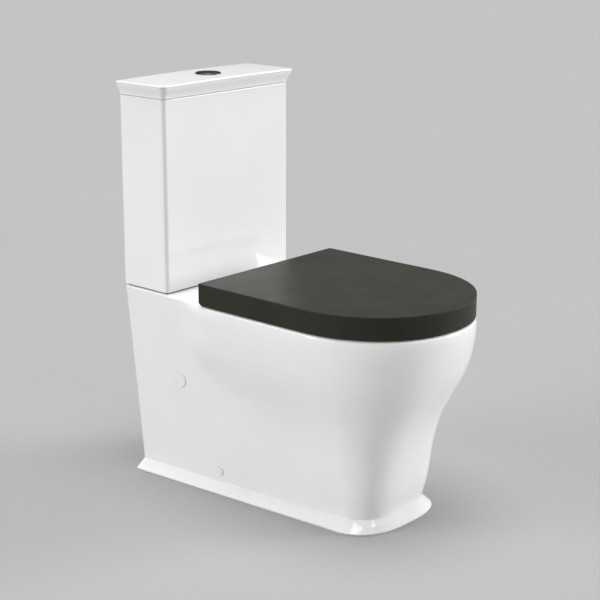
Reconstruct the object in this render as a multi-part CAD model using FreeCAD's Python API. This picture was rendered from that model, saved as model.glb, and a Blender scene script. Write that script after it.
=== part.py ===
import FreeCAD, Part
import math
import os

V = FreeCAD.Vector

# Back to wall toilet suite, in millimetres.
# X runs across the suite and Z is the height above the floor. Reach is the distance forwards
# from the wall, along -Y. Pieces are made with the wall at Y = 0 and moved when they are written,
# so that the origin lies on the floor under the middle of the suite's depth.

# Skirted pan, outside
PAN_HEIGHT = 396.5
RIM_FRONT = 680.0
RIM_HALF = 190.0
BASE_FRONT = 570.0
BASE_HALF = 103.0
FLANK_BASE_HALF = 133.0
FLANK_TOP_HALF = 171.5
SHOULDER = 475.0
RIM_ROUND = 6.0
ROUND_STEPS = 4
RIM_SQUARENESS = 2.06
BASE_SQUARENESS = 3.2
# The flank bows outwards with height by this power of the share of the height.
FLANK_BOW = 1.1
# Share of the height, and share of the growth from the base outline to the rim outline there.
PAN_PROFILE = (
    (0.0, 0.0),
    (0.15, 0.064),
    (0.25, 0.127),
    (0.355, 0.186),
    (0.455, 0.273),
    (0.555, 0.414),
    (0.655, 0.609),
    (0.755, 0.795),
    (0.855, 0.918),
    (0.935, 0.98),
    (1.0, 1.0),
)
# The flat flank ends in a crease, from where the bowl swells out. It climbs towards the wall.
CREASE_LOW_SHARE = 0.35
CREASE_HIGH_SHARE = 0.80
CREASE_LOW_REACH = 265.0
CREASE_HIGH_REACH = 155.0
CREASE_ROUND = 12.0
SWELL_HIGH_REACH = 245.0
# Places along the flank, along the seat's side and across the front where an outline is set.
FLANK_STOPS = (0.0, 0.15, 0.25, 0.29, 0.32, 0.35, 0.38, 0.42, 0.46, 0.50, 0.55, 0.62, 0.70, 0.80, 0.9)
SIDE_STOPS = (0.0, 0.25, 0.5, 0.75)
FRONT_STOPS = (1.0, 0.985, 0.94, 0.86, 0.74, 0.58, 0.40, 0.20)

# Plinth moulding round the pan's foot
PLINTH_SIDE_FLARE = 24.0
PLINTH_FRONT_FLARE = 14.0
PLINTH_SQUARENESS = 2.9
PLINTH_LIP = 3.4
PLINTH_LIP_SETBACK = 1.5
PLINTH_LEDGE = 14.0
PLINTH_LEDGE_FLARE = 11.5
PLINTH_HEIGHT = 25.0
PLINTH_BITE = 6.0
PLINTH_FRONT_BITE = 2.0

# Pan, inside
PAN_WALL = 12.0
DECK_THICKNESS = 20.0
BOWL_HALF = 142.0
BOWL_BACK = 287.0
BOWL_FRONT = 639.0
BOWL_DEPTH = 290.0
BOWL_WALL = 11.0
SUMP_REACH = 392.0
BOWL_LEAN = 1.5
# Share of the depth, and the size of the bowl there as a share of its mouth.
BOWL_PROFILE = ((0.0, 1.0), (0.2, 0.955), (0.42, 0.82), (0.62, 0.62), (0.82, 0.42), (1.0, 0.30))
TRAP_BORE = 27.0
TRAP_WALL = 10.0
TRAP_BEND = 50.0
TRAP_RISE_FOOT = 318.0
TRAP_CROWN_FRONT = 252.0
TRAP_CROWN_BACK = 190.0
TRAP_FALL_FOOT = 150.0
TRAP_CROWN_HEIGHT = 226.0
OUTLET_HEIGHT = 185.0
OUTLET_RADIUS = 51.0
OUTLET_BORE = 43.0
OUTLET_START = 40.0
OUTLET_LENGTH = 70.0
DUCT_BORE = 24.0
DUCT_WALL = 10.0
DUCT_DEPTH = 51.5
INLET_BORE = 33.0

# Cistern tank
TANK_WIDTH = 346.8
TANK_DEPTH = 118.0
TANK_HEIGHT = 374.5
TANK_WALL = 10.0
TANK_FLOOR = 11.0
TANK_RECESS = 22.5
TANK_CORNER = 8.0
TANK_EDGE = 2.0
GASKET_HEIGHT = 2.0
GASKET_WIDTH = 6.0

# Cistern lid
LID_BAND = 4.5
LID_FLARE = 10.0
LID_COVE = 17.0
LID_NOSE = 5.5
LID_NOSE_ROUND = 4.5
LID_DOME = 2.0
LID_PLATE = 10.0
LID_RIB = 5.0
LID_RIB_DROP = 8.0
LID_RIB_GAP = 1.9
COVE_STEPS = 5

# Push buttons
VALVE_REACH = 64.5
BEZEL_RADIUS = 25.0
BEZEL_NECK = 20.0
BEZEL_BORE = 18.7
BEZEL_HEIGHT = 2.6
BEZEL_BEVEL = 1.4
BEZEL_PLATE = 4.0
BUTTON_PROUD = 0.6
BUTTON_THICKNESS = 10.0
BUTTON_SPLIT = -3.0
BUTTON_GAP = 0.6
BUTTON_TRAVEL = 6.0
SPRING_LENGTH = 14.0
SPRING_RADIUS = 4.4
SPRING_WIRE = 1.0
LOCK_NUT_RADIUS = 27.0
LOCK_NUT_HEIGHT = 9.0
ROD_RADIUS = 2.5
ROD_ARM = 5.0

# Flush valve
TAIL_RADIUS = 28.0
TAIL_BORE = 23.0
TAIL_DROP = 8.0
WASHER_THICKNESS = 3.0
VALVE_FLANGE_RADIUS = 40.0
VALVE_FLANGE = 5.0
SEAT_LIP = 6.0
CAGE_HEIGHT = 100.0
CAGE_PLATE = 6.0
CAGE_LEG = 4.0
CAGE_LEG_ACROSS = 30.0
CAGE_LEG_FORWARD = 20.0
GUIDE_HEIGHT = 30.0
GUIDE_WALL = 3.6
SPINDLE_RADIUS = 13.0
SPINDLE_BORE = 11.0
SPINDLE_DISC_RADIUS = 28.0
SPINDLE_DISC = 5.0
SPINDLE_HEIGHT = 250.0
SEAL_RADIUS = 30.0
SEAL_THICKNESS = 3.0
COLLAR_RADIUS = 24.0
COLLAR = 4.0
SLEEVE_HEIGHT = 14.5
SLEEVE_COLLAR_RISE = 6.7
LEVER_STEP = 17.0
LEVER_PIVOT = 30.0
LEVER_INNER_ARM = 24.0
LEVER_OUTER_ARM = 18.0
LEVER_BARREL = 4.0
TINE_INNER = 18.0
TINE_WIDTH = 4.0
TINE_THICKNESS = 3.4
EAR_THICKNESS = 4.0
EAR_HALF = 5.0
LEVER_PIN = 2.0
NUT_HEIGHT = 12.0
VALVE_NUT_RADIUS = 38.0
SEAL_RING_RADIUS = 42.0

# Fill valve
FILL_FROM_BOLT = 4.0
SHANK_RADIUS = 10.48
SHANK_SHOULDER = 11.0
SHANK_THREAD = 53.0
SHANK_BORE = 7.0
SHANK_DROP = 80.0
FILL_FLANGE_RADIUS = 18.0
RISER_RADIUS = 12.0
RISER_HEIGHT = 208.0
FILL_HEAD_RADIUS = 20.0
FILL_HEAD = 32.0
FILL_NUT_RADIUS = 17.0
FLOAT_RADIUS = 30.0
FLOAT_WALL = 3.0
FLOAT_HEIGHT = 50.0
FLOAT_START = 128.0
FLOAT_STOP = 5.7
FLOAT_EAR = 6.0
FLOAT_ARM = 40.0
FLOAT_ARM_DROP_DEG = 18.0
FLOAT_ARM_WIDTH = 10.0
FLOAT_ARM_THICKNESS = 5.0
FLOAT_PIVOT_SIDE = 10.0
FLOAT_PIVOT_RISE = 20.0
LINK_RADIUS = 2.0
LINK_COLLAR = 2.0
LINK_COLLAR_RADIUS = 4.0

# Bolts from the tank to the pan, and under the seat hinge
BOLT_RADIUS = 4.0
BOLT_HEAD_RADIUS = 8.0
BOLT_HEAD = 6.0
COUPLING_ACROSS = 62.0
BOLT_TAIL = 30.0
RUBBER_RADIUS = 11.0
PLATE_WASHER = 2.0
PLATE_WASHER_RADIUS = 13.0
WING_NUT_RADIUS = 9.0
WING_SPAN = 16.0
WING_THICKNESS = 3.0

# Seat lid and ring
SEAT_LID_OVERHANG = 0.8
SEAT_LID_REAR = 219.0
SEAT_LID_SETBACK = 1.7
SEAT_LID_SKIRT_GAP = 1.8
SEAT_LID_HEIGHT = 42.6
SEAT_LID_WALL = 4.0
SEAT_LID_TOP = 4.5
SEAT_LID_EDGE = 2.0
SEAT_LID_CORNER = 4.0
SKIRT_HEEL = 14.0
REAR_SKIRT = 13.0
SEAT_SHOULDER_LEAD = 3.0
SEAT_SQUARENESS = 2.06
RING_SIDE_GAP = 3.8
RING_REAR = 234.5
RING_THICKNESS = 22.0
RING_EDGE = 5.0
RING_CORNER = 14.0
RING_OPENING_HALF = 108.0
RING_OPENING_BACK = 305.0
RING_OPENING_FRONT = 595.0
BUMPER_HEIGHT = 7.5
BUMPER_RADIUS = 9.0
BUMPER_SIDE = 26.0
BUMPER_REAR_REACH = 330.0
BUMPER_FRONT_ACROSS = 115.0
BUMPER_FRONT_REACH = 600.0

# Seat hinge
HINGE_REACH = 235.5
HINGE_RISE = 24.5
HINGE_ACROSS = 77.5
HINGE_FOOT_REACH = 244.5
HINGE_FOOT_RADIUS = 20.0
HINGE_FOOT = 3.0
HINGE_BARREL = 10.0
HINGE_BARREL_WIDTH = 23.0
KNUCKLE_WIDTH = 19.4
HINGE_PIN = 4.0
HINGE_SIDE_GAP = 0.6
NOTCH_SIDE_GAP = 3.0
NOTCH_DEPTH = 23.0
DAMPER_RADIUS = 7.5
BUSH_RADIUS = 5.5
STUD_BITE = 11.5

# Cap covers on the flanks, and the floor brackets behind the lower pair
SIDE_CAP_RADIUS = 16.0
SIDE_CAP_REACH = 124.5
SIDE_CAP_HEIGHT = 220.5
SIDE_HOLE = 13.0
CAP_PROUD = 2.0
CAP_EDGE = 0.5
CAP_SEAT = 1.5
FLOOR_CAP_RADIUS = 9.3
FLOOR_CAP_REACH = 206.0
FLOOR_CAP_HEIGHT = 42.0
FLOOR_CAP_SEAT = 5.0
SIDE_SCREW = 2.5
SIDE_SCREW_HEAD = 7.0
SIDE_SCREW_HEAD_HEIGHT = 2.5
SIDE_SCREW_LENGTH = 24.0
BRACKET_HALF_LENGTH = 20.0
BRACKET_HEIGHT = 62.0
BRACKET_ACROSS = 92.0
BRACKET_INNER_MARGIN = 14.0
FLOOR_HOLE = 3.5

# Clearances: pieces beside each other, pins that run, bolts in their holes, and cuts past a face
FIT = 0.3
RUN = 0.05
BOLT_ROOM = 2.0
SLACK = 1.0

# Levels and places worked out from the sizes above
DECK_UNDER = PAN_HEIGHT - DECK_THICKNESS
TANK_BOTTOM = PAN_HEIGHT + GASKET_HEIGHT
TANK_TOP = TANK_BOTTOM + TANK_HEIGHT
TANK_HALF = TANK_WIDTH / 2
FILL_ACROSS = -(COUPLING_ACROSS + RUBBER_RADIUS + FILL_FROM_BOLT + FILL_FLANGE_RADIUS)
FLOOR_UNDER = TANK_BOTTOM + TANK_RECESS
FLOOR_TOP = FLOOR_UNDER + TANK_FLOOR
FLANGE_LOW = FLOOR_TOP + WASHER_THICKNESS
LID_TOP = TANK_TOP + LID_BAND + LID_COVE + LID_NOSE + LID_DOME
BUTTON_TOP = LID_TOP + BEZEL_HEIGHT + BUTTON_PROUD
BUTTON_LOW = BUTTON_TOP - BUTTON_THICKNESS
BEZEL_PLATE_TOP = BUTTON_LOW - SPRING_LENGTH
FULL_ROD_ACROSS = (BEZEL_BORE + BUTTON_SPLIT) / 2
HALF_ROD_ACROSS = (BUTTON_SPLIT - BEZEL_BORE) / 2
FLANGE_TOP = FLANGE_LOW + VALVE_FLANGE
SEAL_LOW = FLANGE_TOP + SEAT_LIP + FIT
PLATE_LOW = FLANGE_TOP + CAGE_HEIGHT
GUIDE_TOP = PLATE_LOW + CAGE_PLATE + GUIDE_HEIGHT
SLEEVE_LOW = GUIDE_TOP + FIT
HALF_TINE_TOP = SLEEVE_LOW + SLEEVE_COLLAR_RISE - FIT
FULL_TINE_TOP = HALF_TINE_TOP + LEVER_STEP
SPINDLE_LIFT = BUTTON_TRAVEL * LEVER_INNER_ARM / LEVER_OUTER_ARM
SPINDLE_TOP = SEAL_LOW + SEAL_THICKNESS + SPINDLE_HEIGHT
ROD_ARM_LOW = SPINDLE_TOP + SPINDLE_LIFT + BUTTON_TRAVEL + BOLT_ROOM
RISER_TOP = FLANGE_TOP + RISER_HEIGHT
FLOAT_LOW = FLOOR_TOP + FLOAT_START
FLOAT_PIVOT_ACROSS = FILL_ACROSS - FLOAT_PIVOT_SIDE
FLOAT_PIVOT_HEIGHT = RISER_TOP + FLOAT_PIVOT_RISE
FLOAT_ARM_BACK = VALVE_REACH + FILL_HEAD_RADIUS + BOLT_ROOM
FLOAT_ARM_HOLE = FLOAT_PIVOT_ACROSS + FLOAT_ARM
LINK_ACROSS = FLOAT_PIVOT_ACROSS + FLOAT_ARM * (1.0 + math.cos(math.radians(FLOAT_ARM_DROP_DEG))) / 2
LINK_REACH = FLOAT_ARM_BACK + FLOAT_ARM_WIDTH / 2
SKIRT_LOW = PAN_HEIGHT + SEAT_LID_SKIRT_GAP
SEAT_TOP = SKIRT_LOW + SEAT_LID_HEIGHT
RING_LOW = PAN_HEIGHT + BUMPER_HEIGHT
RING_TOP = RING_LOW + RING_THICKNESS
SEAT_LID_HALF = RIM_HALF + SEAT_LID_OVERHANG
SEAT_LID_FRONT = RIM_FRONT - SEAT_LID_SETBACK
SEAT_SHOULDER = SHOULDER + SEAT_SHOULDER_LEAD
RING_HALF = SEAT_LID_HALF - SEAT_LID_WALL - RING_SIDE_GAP
RING_FRONT = SEAT_LID_FRONT - SEAT_LID_WALL - RING_SIDE_GAP
HINGE_HEIGHT = PAN_HEIGHT + HINGE_RISE
BARREL_IN = HINGE_ACROSS - HINGE_BARREL_WIDTH / 2
BARREL_OUT = HINGE_ACROSS + HINGE_BARREL_WIDTH / 2
LID_KNUCKLE_OUT = BARREL_IN - HINGE_SIDE_GAP
LID_KNUCKLE_IN = LID_KNUCKLE_OUT - KNUCKLE_WIDTH
RING_KNUCKLE_IN = BARREL_OUT + HINGE_SIDE_GAP
RING_KNUCKLE_OUT = RING_KNUCKLE_IN + KNUCKLE_WIDTH


def at(x, reach, z):
    """Point given across, forwards from the wall and up."""
    return V(x, -reach, z)


def mix(low, high, share):
    """Value a share of the way from low to high."""
    return low + (high - low) * share


def ease(share):
    """Smooth step from 0 to 1."""
    share = min(max(share, 0.0), 1.0)
    return share * share * (3.0 - 2.0 * share)


def post(x, reach, low, high, radius):
    """Upright round bar."""
    return Part.makeCylinder(radius, high - low, at(x, reach, low))


def tube(x, reach, low, high, outer, inner):
    """Upright round ring or tube."""
    return post(x, reach, low, high, outer).cut(post(x, reach, low - SLACK, high + SLACK, inner))


def cross_rod(x_low, x_high, reach, z, radius):
    """Round bar running across the suite."""
    return Part.makeCylinder(radius, x_high - x_low, at(x_low, reach, z), V(1, 0, 0))


def forward_rod(x, reach_low, reach_high, z, radius):
    """Round bar running forwards from the wall."""
    return Part.makeCylinder(radius, reach_high - reach_low, at(x, reach_low, z), V(0, -1, 0))


def block(x_low, x_high, reach_low, reach_high, low, high):
    """Rectangular block between two corners."""
    return Part.makeBox(x_high - x_low, reach_high - reach_low, high - low, at(x_low, reach_high, low))


def fused(shapes):
    """One solid from pieces that meet."""
    return shapes[0].multiFuse(shapes[1:]).removeSplitter()


def mirrored(shape):
    """Copy of a piece on the other side of the suite's middle plane."""
    return shape.mirror(V(0, 0, 0), V(1, 0, 0))


def pair(shape):
    """A piece and its mirror image, as two solids of one node."""
    return Part.makeCompound([shape, mirrored(shape)])


def rounded(shape, radius, chosen):
    """Round the edges whose bounding boxes are chosen."""
    return shape.makeFillet(radius, [edge for edge in shape.Edges if chosen(edge.BoundBox)])


def level_at(z):
    """Test for an edge that lies level at one height."""
    return lambda box: abs(box.ZMin - z) < FIT and abs(box.ZMax - z) < FIT


def wing_nut(x, reach, top):
    """Plastic wing nut under a seat at the given height."""
    low = top - NUT_HEIGHT
    half = WING_THICKNESS / 2
    wings = block(x - WING_SPAN, x + WING_SPAN, reach - half, reach + half, low, top)
    body = fused([post(x, reach, low, top, WING_NUT_RADIUS), wings])
    return body.cut(post(x, reach, low - SLACK, top + SLACK, BOLT_RADIUS))


def flank_taper(share):
    """How fast the flat flank closes in per millimetre of reach, at a share of the height."""
    return (FLANK_BASE_HALF - BASE_HALF) / SHOULDER * (1.0 - share)


def flank_half(reach, z):
    """Half width of the flat flank."""
    share = z / PAN_HEIGHT
    return mix(FLANK_BASE_HALF, FLANK_TOP_HALF, share ** FLANK_BOW) - flank_taper(share) * reach


def front_points(half, shoulder, front, squareness):
    """Right half of a rounded front, from the shoulder towards the middle."""
    points = []
    for stop in FRONT_STOPS:
        forward = (1.0 - stop ** squareness) ** (1.0 / squareness)
        points.append((half * stop, mix(shoulder, front, forward)))
    return points


def swell_out(past, run):
    """Share of the bowl's swelling at a distance past the crease, with the crease a little rounded."""
    past = (past + math.hypot(past, CREASE_ROUND)) / 2
    return math.sin(math.pi / 2 * min(past / run, 1.0))


def outline_points(share, swell, side, front_side, squareness, tail):
    """Pan outline in plan, from the right of the wall round the front to the left."""
    half = mix(BASE_HALF, RIM_HALF, swell) + side
    front = mix(BASE_FRONT, RIM_FRONT, swell) + front_side
    height = share * PAN_HEIGHT
    climb = ease((share - CREASE_LOW_SHARE) / (CREASE_HIGH_SHARE - CREASE_LOW_SHARE))
    crease = mix(CREASE_LOW_REACH, CREASE_HIGH_REACH, climb)
    crest = mix(SHOULDER, SWELL_HIGH_REACH, climb)
    growth = half - side - flank_half(SHOULDER, height)
    right = []
    for stop in FLANK_STOPS:
        reach = stop * SHOULDER
        bulge = growth * swell_out(reach - crease, crest - crease)
        right.append((flank_half(reach, height) + side + bulge, reach if stop else -tail))
    right += front_points(half, SHOULDER, front, squareness)
    left = [(-x, reach) for x, reach in reversed(right)]
    return right + [(0.0, front)] + left


def outline_knots():
    """Places of the outline's points along its length, the same for every outline."""
    share, swell = PAN_PROFILE[len(PAN_PROFILE) // 2]
    points = outline_points(share, swell, 0.0, 0.0, RIM_SQUARENESS, 0.0)
    lengths = [0.0]
    for first, second in zip(points, points[1:]):
        lengths.append(lengths[-1] + math.dist(first, second))
    return [length / lengths[-1] for length in lengths]


def pan_wire(height, share, swell, side=0.0, front_side=0.0, squareness=None, tail=0.0):
    """Closed outline of the pan at one height, straight across the wall."""
    if squareness is None:
        squareness = mix(BASE_SQUARENESS, RIM_SQUARENESS, share)
    points = outline_points(share, swell, side, front_side, squareness, tail)
    corners = [at(x, reach, height) for x, reach in points]
    curve = Part.BSplineCurve()
    curve.interpolate(Points=corners, Parameters=outline_knots())
    return Part.Wire([curve.toShape(), Part.makeLine(corners[-1], corners[0])])


def pan_loft(side, tail, foot, ruled=False):
    """Skirted body, offset outwards by side, from its foot to the start of the rim's rounding."""
    wires = []
    for share, swell in PAN_PROFILE:
        height = share * (PAN_HEIGHT - RIM_ROUND) if share else foot
        wires.append(pan_wire(height, share, swell, side, side, tail=tail))
    return Part.makeLoft(wires, True, ruled)


def rim_loft():
    """Quarter round between the pan's side and its level top."""
    wires = []
    for step in range(ROUND_STEPS + 1):
        turn = math.pi / 2 * step / ROUND_STEPS
        height = PAN_HEIGHT - RIM_ROUND * (1.0 - math.sin(turn))
        inset = RIM_ROUND * (1.0 - math.cos(turn))
        wires.append(pan_wire(height, 1.0, 1.0, -inset, -inset))
    return Part.makeLoft(wires, True, False)


def plinth():
    """Moulded foot: a low lip, and a chamfer into the body that breaks at a ledge round the front."""
    floor = pan_wire(0.0, 0.0, 0.0, PLINTH_SIDE_FLARE - PLINTH_LIP_SETBACK,
                     PLINTH_FRONT_FLARE - PLINTH_LIP_SETBACK, PLINTH_SQUARENESS)
    lip = pan_wire(PLINTH_LIP, 0.0, 0.0, PLINTH_SIDE_FLARE, PLINTH_FRONT_FLARE, PLINTH_SQUARENESS)
    climb = (PLINTH_LEDGE - PLINTH_LIP) / (PLINTH_HEIGHT - PLINTH_LIP)
    ledge = pan_wire(PLINTH_LEDGE, 0.0, 0.0, mix(PLINTH_SIDE_FLARE, -PLINTH_BITE, climb),
                     PLINTH_LEDGE_FLARE, PLINTH_SQUARENESS)
    top = pan_wire(PLINTH_HEIGHT, 0.0, 0.0, -PLINTH_BITE, -PLINTH_FRONT_BITE, BASE_SQUARENESS)
    steps = ([floor, lip], [lip, ledge], [ledge, top])
    bands = [Part.makeLoft(wires, True, True) for wires in steps]
    return bands[0].multiFuse(bands[1:])


def oval(half, length_half, centre, z):
    """Level oval, longer or shorter along the reach."""
    squash = FreeCAD.Matrix()
    squash.scale(half, length_half, 1.0)
    squash.move(at(0.0, centre, z))
    return Part.Wire([Part.makeCircle(1.0).transformGeometry(squash)])


def bowl_wire(size, grow, centre, height):
    """Oval of the bowl at one height, as a share of its mouth and grown all round."""
    return oval(size * BOWL_HALF + grow, size * (BOWL_FRONT - BOWL_BACK) / 2 + grow, centre, height)


def bowl_loft(grow, floor_drop):
    """Bowl from under its rounded mouth down to the sump, grown all round."""
    mouth = (BOWL_BACK + BOWL_FRONT) / 2
    top = PAN_HEIGHT - RIM_ROUND
    sump = PAN_HEIGHT - BOWL_DEPTH - floor_drop
    wires = []
    for depth, size in BOWL_PROFILE:
        wires.append(bowl_wire(size, grow, mix(mouth, SUMP_REACH, depth ** BOWL_LEAN), mix(top, sump, depth)))
    return Part.makeLoft(wires, True, False)


def bowl_mouth():
    """Quarter round from the bowl's side out to the level rim, as a cutting tool."""
    centre = (BOWL_BACK + BOWL_FRONT) / 2
    wires = []
    for step in range(ROUND_STEPS + 1):
        turn = math.pi / 2 * step / ROUND_STEPS
        height = PAN_HEIGHT - RIM_ROUND * (1.0 - math.sin(turn))
        wires.append(bowl_wire(1.0, RIM_ROUND * (1.0 - math.cos(turn)), centre, height))
    above = Part.Face(wires[-1]).extrude(V(0, 0, SLACK))
    return Part.makeLoft(wires, True, False).fuse(above)


def bent_pipe(stops, bend, radius):
    """Round pipe through stops in the middle plane, each corner turned at the bend radius."""
    corners = [at(0.0, reach, z) for reach, z in stops]
    start = corners[0]
    edges = []
    for before, corner, after in zip(corners, corners[1:], corners[2:]):
        back = (before - corner).normalize()
        ahead = (after - corner).normalize()
        half_angle = back.getAngle(ahead) / 2
        trim = bend / math.tan(half_angle)
        middle = corner + (back + ahead).normalize() * (bend / math.sin(half_angle) - bend)
        entry = corner + back * trim
        leave = corner + ahead * trim
        edges.append(Part.makeLine(start, entry))
        edges.append(Part.Arc(entry, middle, leave).toShape())
        start = leave
    edges.append(Part.makeLine(start, corners[-1]))
    mouth = Part.Wire([Part.makeCircle(radius, corners[0], corners[1] - corners[0])])
    return Part.Wire(edges).makePipeShell([mouth], True, False)


def on_flank(shape, reach, z):
    """Turn a piece that stands up the Z axis so that it stands out of the right flank."""
    across = (flank_half(reach + SLACK, z) - flank_half(reach - SLACK, z)) / (2 * SLACK)
    rise = (flank_half(reach, z + SLACK) - flank_half(reach, z - SLACK)) / (2 * SLACK)
    turn = FreeCAD.Rotation(V(0, 0, 1), V(1.0, across, -rise))
    place = FreeCAD.Placement(at(flank_half(reach, z), reach, z), turn)
    moved = shape.copy()
    moved.Placement = place.multiply(moved.Placement)
    return moved


def stand(low, high, radius):
    """Round bar on the Z axis, for pieces that are then set on the flank."""
    return Part.makeCylinder(radius, high - low, V(0, 0, low))


def pan():
    """Vitreous china pan: skirted shell, bowl, trapway, flush duct and their holes."""
    body = pan_loft(0.0, 0.0, 0.0).fuse(rim_loft())
    hollow = pan_loft(-PAN_WALL, PAN_WALL, -SLACK, ruled=True)
    under_deck = block(-RIM_FRONT, RIM_FRONT, -RIM_FRONT, RIM_FRONT, -PAN_HEIGHT, DECK_UNDER)
    hollow = hollow.common(under_deck)
    shell = body.fuse(plinth()).cut(hollow)

    sump = PAN_HEIGHT - BOWL_DEPTH
    trap_low = sump + TRAP_BORE + SLACK
    stops = [
        (SUMP_REACH, trap_low),
        (TRAP_RISE_FOOT, trap_low),
        (TRAP_CROWN_FRONT, TRAP_CROWN_HEIGHT),
        (TRAP_CROWN_BACK, TRAP_CROWN_HEIGHT),
        (TRAP_FALL_FOOT, OUTLET_HEIGHT),
        (OUTLET_START + OUTLET_LENGTH / 2, OUTLET_HEIGHT),
    ]
    outlet_end = OUTLET_START + OUTLET_LENGTH
    duct_height = PAN_HEIGHT - DUCT_DEPTH
    duct_back = VALVE_REACH - INLET_BORE - DUCT_WALL
    duct_outer = DUCT_BORE + DUCT_WALL
    solids = [
        shell,
        bowl_loft(BOWL_WALL, BOWL_WALL),
        bent_pipe(stops, TRAP_BEND, TRAP_BORE + TRAP_WALL),
        forward_rod(0.0, OUTLET_START, outlet_end, OUTLET_HEIGHT, OUTLET_RADIUS),
        forward_rod(0.0, duct_back, BOWL_BACK + BOWL_WALL, duct_height, duct_outer),
        post(0.0, VALVE_REACH, duct_height - duct_outer, DECK_UNDER + SLACK, INLET_BORE + DUCT_WALL),
    ]
    china = fused(solids)

    bolt_hole = BOLT_RADIUS + BOLT_ROOM
    cuts = [
        bowl_loft(0.0, 0.0),
        bowl_mouth(),
        bent_pipe(stops, TRAP_BEND, TRAP_BORE),
        forward_rod(0.0, OUTLET_START - SLACK, outlet_end - TRAP_WALL, OUTLET_HEIGHT, OUTLET_BORE),
        forward_rod(0.0, VALVE_REACH, BOWL_BACK + BOWL_WALL + DUCT_BORE, duct_height, DUCT_BORE),
        post(0.0, VALVE_REACH, duct_height - DUCT_BORE, PAN_HEIGHT + SLACK, INLET_BORE),
        post(FILL_ACROSS, VALVE_REACH, DECK_UNDER - SLACK, PAN_HEIGHT + SLACK, FILL_NUT_RADIUS + BOLT_ROOM),
    ]
    for side in (-1, 1):
        for across, reach in ((COUPLING_ACROSS, VALVE_REACH), (HINGE_ACROSS, HINGE_FOOT_REACH)):
            cuts.append(post(side * across, reach, DECK_UNDER - SLACK, PAN_HEIGHT + SLACK, bolt_hole))
    through = 2 * PAN_WALL
    side_hole = stand(-through, SLACK, SIDE_HOLE).fuse(stand(-CAP_SEAT, through, SIDE_CAP_RADIUS + FIT))
    screw_hole = stand(-through, SLACK, SIDE_SCREW + FIT)
    screw_hole = screw_hole.fuse(stand(-FLOOR_CAP_SEAT, through, FLOOR_CAP_RADIUS + FIT))
    for hole, reach, height in (
        (side_hole, SIDE_CAP_REACH, SIDE_CAP_HEIGHT),
        (screw_hole, FLOOR_CAP_REACH, FLOOR_CAP_HEIGHT),
    ):
        placed = on_flank(hole, reach, height)
        cuts += [placed, mirrored(placed)]
    return china.cut(cuts).Solids[0]


def tank_box(inset, low, high):
    """Upright box as wide as the tank less an inset, for the tank's outside and inside."""
    return block(-TANK_HALF + inset, TANK_HALF - inset, inset, TANK_DEPTH - inset, low, high)


def cistern_tank():
    """Vitreous china tank with an open top and a recessed floor."""
    outer = tank_box(0.0, TANK_BOTTOM, TANK_TOP)
    outer = rounded(outer, TANK_CORNER, lambda box: box.ZLength > TANK_WALL and box.YMin < -TANK_WALL)
    ends = (level_at(TANK_BOTTOM), level_at(TANK_TOP))
    outer = rounded(outer, TANK_EDGE, lambda box: any(end(box) for end in ends) and box.YMin < -SLACK)
    inside = tank_box(TANK_WALL, FLOOR_TOP, TANK_TOP + SLACK)
    inside = rounded(inside, TANK_CORNER, lambda box: box.ZLength > TANK_WALL)
    recess = tank_box(TANK_WALL, TANK_BOTTOM - SLACK, FLOOR_UNDER)
    holes = []
    for across, radius in (
        (0.0, TAIL_RADIUS),
        (FILL_ACROSS, SHANK_SHOULDER),
        (-COUPLING_ACROSS, BOLT_RADIUS),
        (COUPLING_ACROSS, BOLT_RADIUS),
    ):
        hole = radius + BOLT_ROOM / 2
        holes.append(post(across, VALVE_REACH, FLOOR_UNDER - SLACK, FLOOR_TOP + SLACK, hole))
    return outer.cut([inside, recess] + holes)


def lid_wire(z, out):
    """Lid outline at one height: square at the wall, rounded at the two front corners."""
    half = TANK_HALF + out
    front = TANK_DEPTH + out
    corner = TANK_CORNER + out / 2
    swing = corner * (1.0 - math.sqrt(0.5))
    right = at(half, front - corner, z)
    right_front = at(half - corner, front, z)
    left_front = at(corner - half, front, z)
    left = at(-half, front - corner, z)
    edges = [
        Part.makeLine(at(half, 0.0, z), right),
        Part.Arc(right, at(half - swing, front - swing, z), right_front).toShape(),
        Part.makeLine(right_front, left_front),
        Part.Arc(left_front, at(swing - half, front - swing, z), left).toShape(),
        Part.makeLine(left, at(-half, 0.0, z)),
        Part.makeLine(at(-half, 0.0, z), at(half, 0.0, z)),
    ]
    return Part.Wire(edges)


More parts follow.
